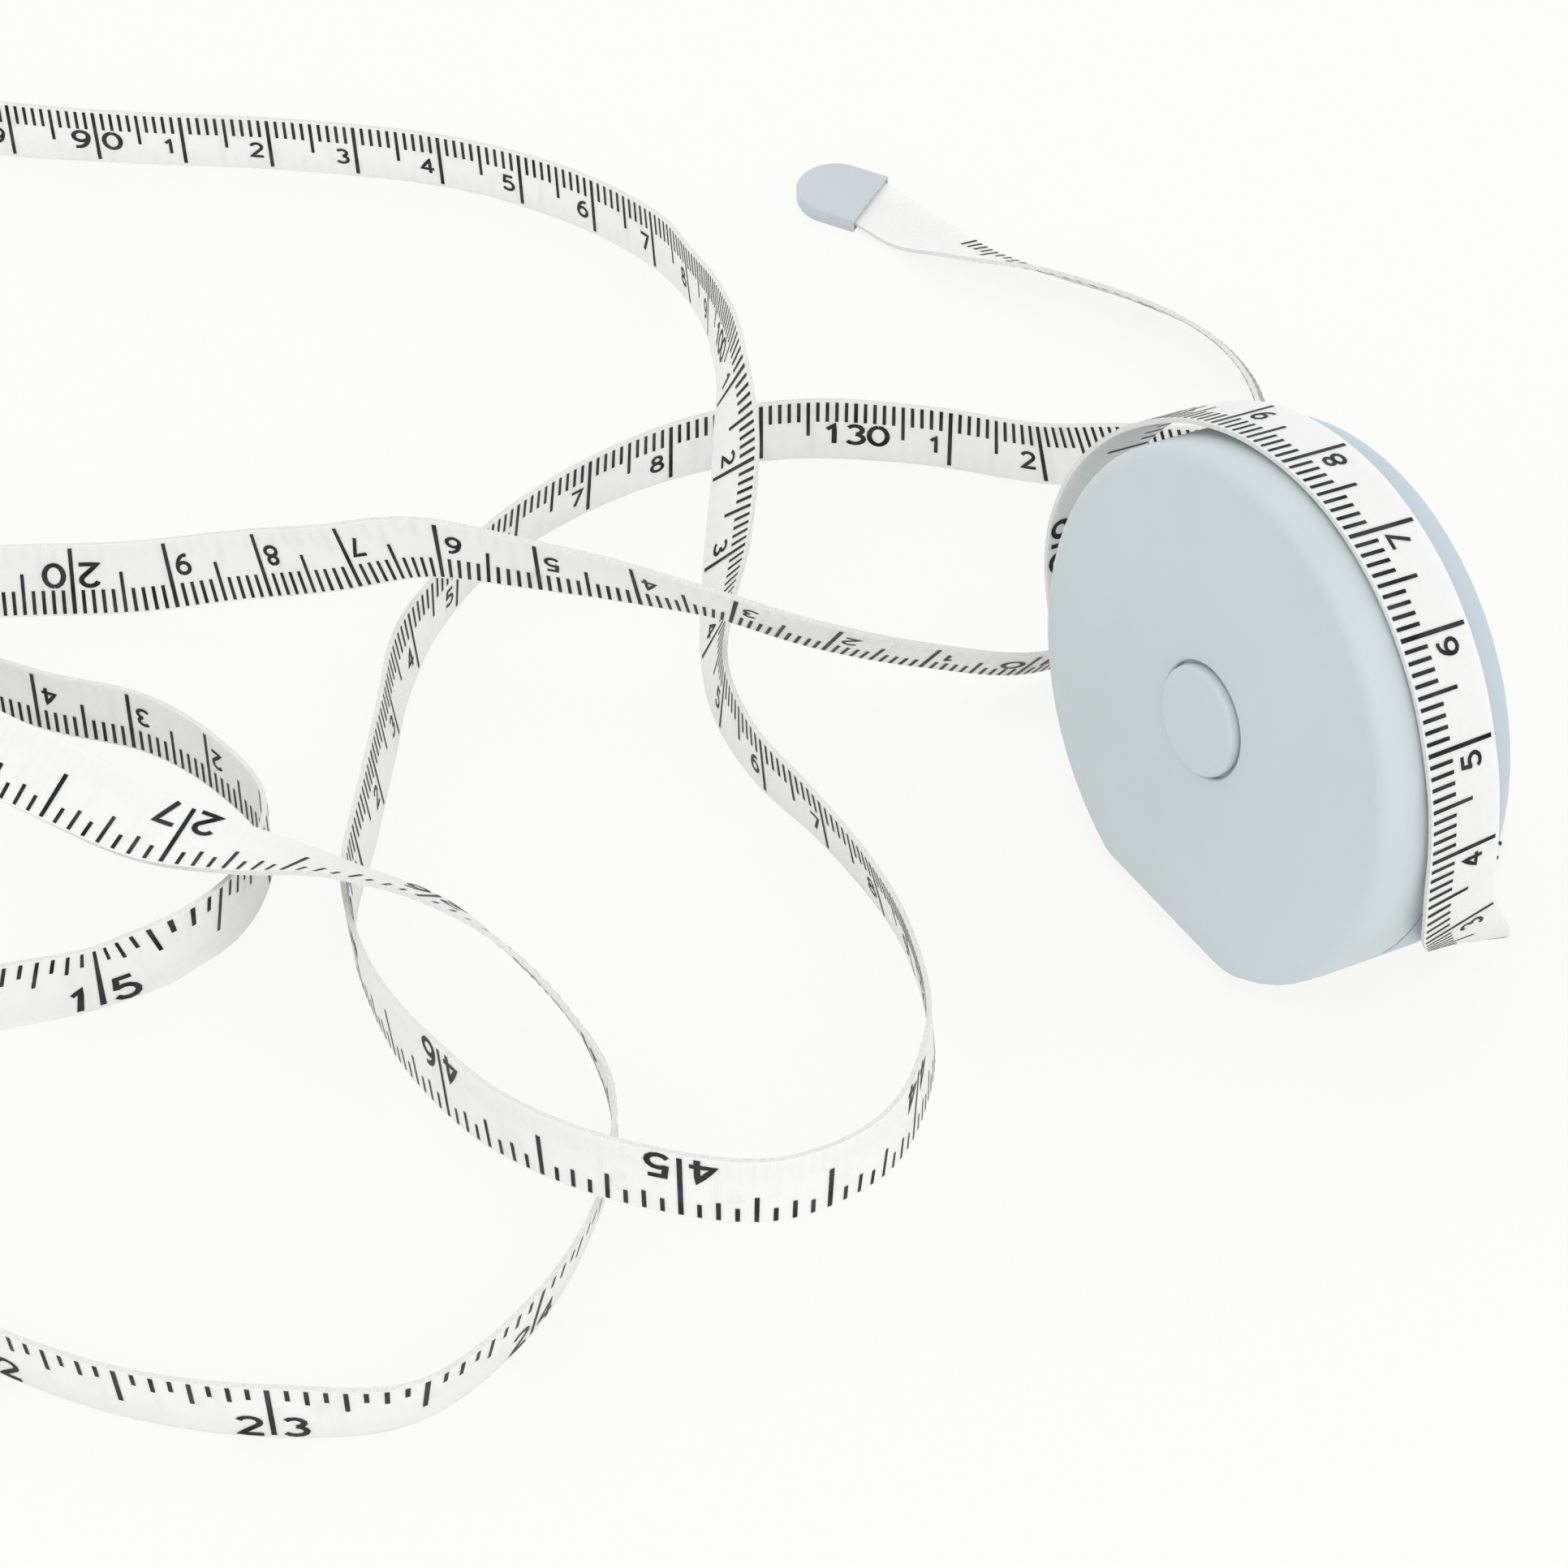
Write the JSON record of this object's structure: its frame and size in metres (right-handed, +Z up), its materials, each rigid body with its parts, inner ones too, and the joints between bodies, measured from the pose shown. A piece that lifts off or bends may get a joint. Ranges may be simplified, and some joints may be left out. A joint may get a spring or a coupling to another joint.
{
  "type": "retractable tape measure",
  "caption": "Round pocket case with a centre push button and a narrow printed cloth tape, pulled out and lying in loose loops, used to measure lengths and girths.",
  "frame": {"origin": "on the floor under the middle of the case's outline; the case leans back on its flat foot", "axes": "+Z up; -Y is the way the case front with its button faces, leaned back by 7.4 degrees; +X to the right seen from the front"},
  "size_m": [0.2195, 0.205, 0.0492],
  "materials": {
    "shell": "satin",
    "button": "satin",
    "tape": "coated glass cloth, black print",
    "ferrule": "satin",
    "steel": "bright",
    "reel": "moulded",
    "pad": "matt"
  },
  "bodies": {
    "case": {"front_shell": "shell", "rear_shell": "shell", "mouth_guide": "shell", "arbor_post": "reel", "arbor_screw": "steel", "mainspring": "steel", "button_spring": "steel", "tape_mouth_run": "tape", "tape_rim_wrap": "tape", "tape_rise": "tape", "tape_loops": "tape", "tape_end_run": "tape", "end_ferrule": "ferrule"},
    "button": {"push_button": "button", "brake_disc": "reel", "brake_pad": "pad", "button_clip": "steel"},
    "reel": {"reel_drum": "reel", "reel_lid": "reel", "tape_anchor_pin": "steel", "tape_tail": "tape"}
  },
  "joints": [
    {"name": "button_press", "type": "slide", "parent": "case", "child": "button", "axis": [0, 0.9917, -0.1288], "range_m": [0, 0.0012], "stiffness_N_per_m": 600, "springref_m": -0.001, "deforming": ["button_spring"]},
    {"name": "reel_spin", "type": "hinge", "parent": "case", "child": "reel", "pos_m": [0, 0.0005, 0.02317], "axis": [0, -0.9917, 0.1288], "range_deg": [0, 4680], "deforming": ["mainspring"]}
  ]
}
